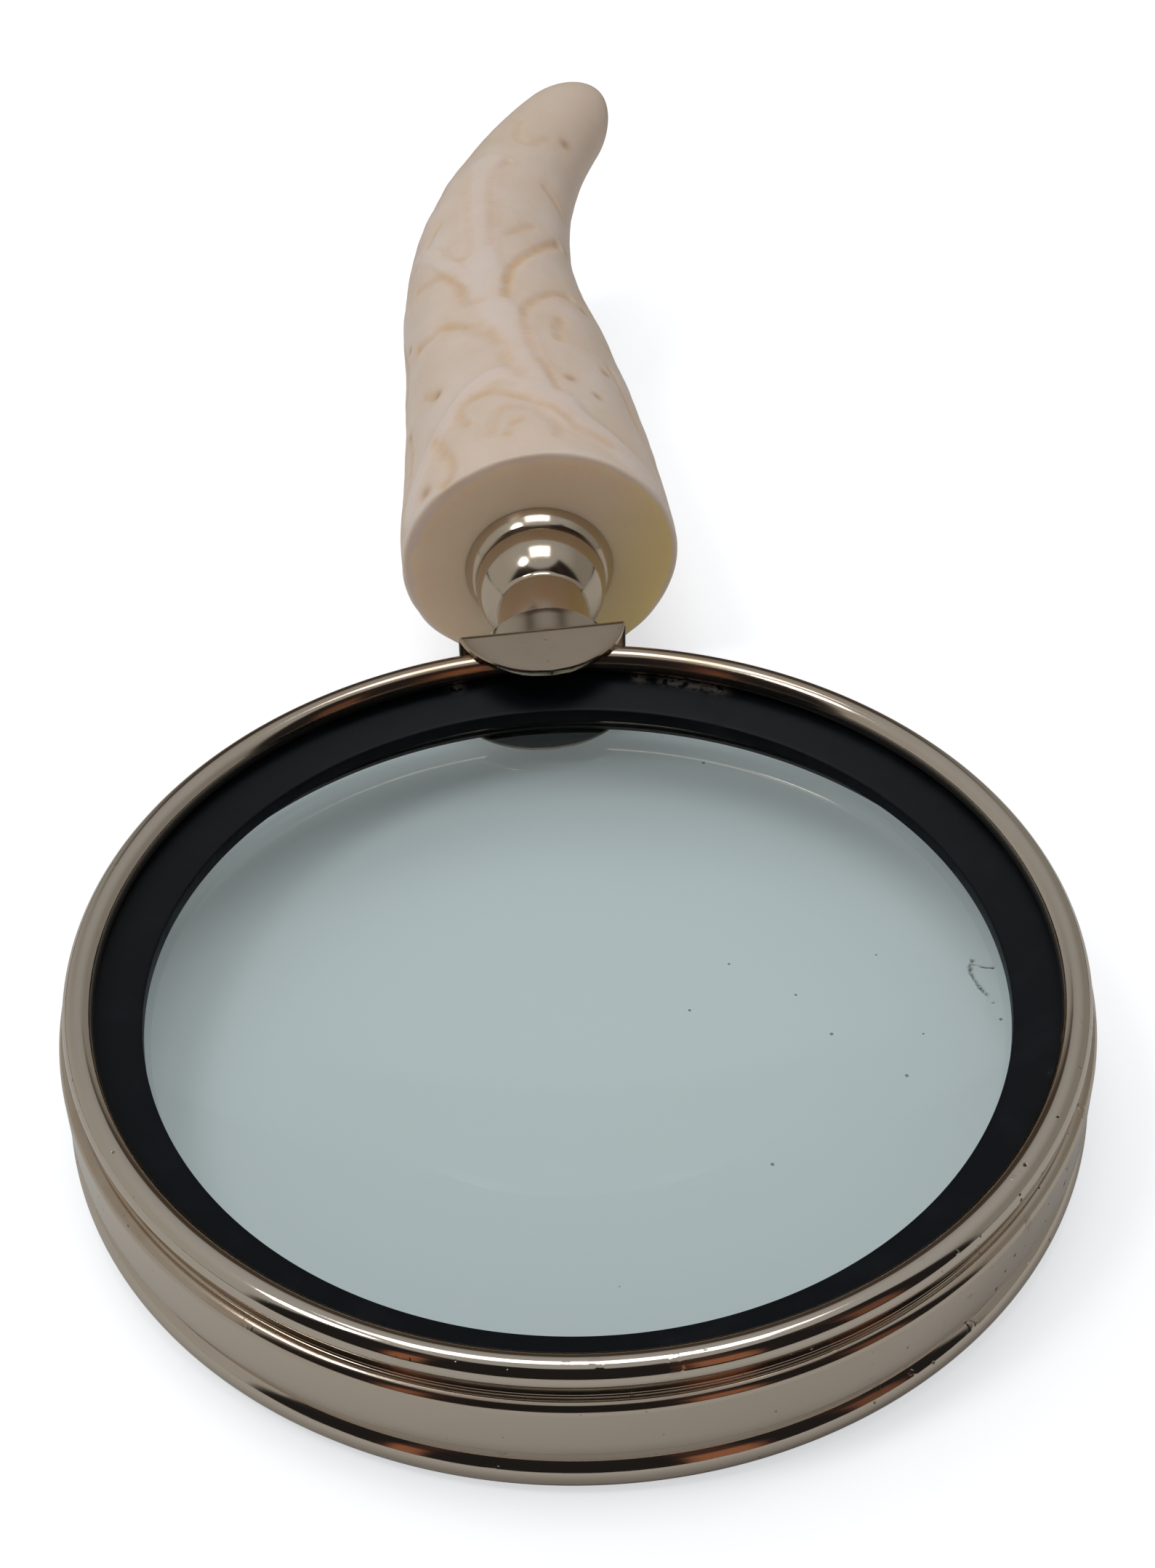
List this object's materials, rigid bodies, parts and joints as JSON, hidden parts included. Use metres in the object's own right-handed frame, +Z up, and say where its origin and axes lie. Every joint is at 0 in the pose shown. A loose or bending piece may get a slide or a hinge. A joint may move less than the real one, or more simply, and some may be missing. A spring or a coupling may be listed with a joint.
{
  "type": "hand lens",
  "caption": "Desk hand lens: round glass in a beaded plated rim, on a turned ferrule and a curved horn-shaped ivory-coloured resin handle.",
  "frame": {"origin": "centre of the part's own box on the surface it lies on, as it rests on the front of the rim and the underside of the handle's root", "axes": "+Y from the glass towards the handle's tip, +Z up from the table; the lens axis leans about 3.3 degrees from +Z towards -Y"},
  "size_m": [0.1078, 0.2464, 0.0393],
  "materials": {
    "plated_rim": "polished nickel plating with small tarnish pits",
    "plated_fittings": "polished nickel plating",
    "black_ring": "matte black, lightly scratched",
    "lens_glass": "clear with a faint green-blue cast",
    "screw_steel": "plain steel",
    "insert_brass": "turned brass",
    "handle_resin": "satin ivory-coloured resin with stained carved strokes"
  },
  "bodies": {
    "root": {"lens_frame": "plated_rim", "retaining_ring": "black_ring", "seat_ring": "plated_rim", "lens": "lens_glass", "saddle": "plated_fittings", "tie_screw": "screw_steel", "collar": "plated_fittings", "ferrule": "plated_fittings", "ferrule_rim": "plated_fittings", "handle_insert": "insert_brass", "handle": "handle_resin"}
  },
  "joints": []
}
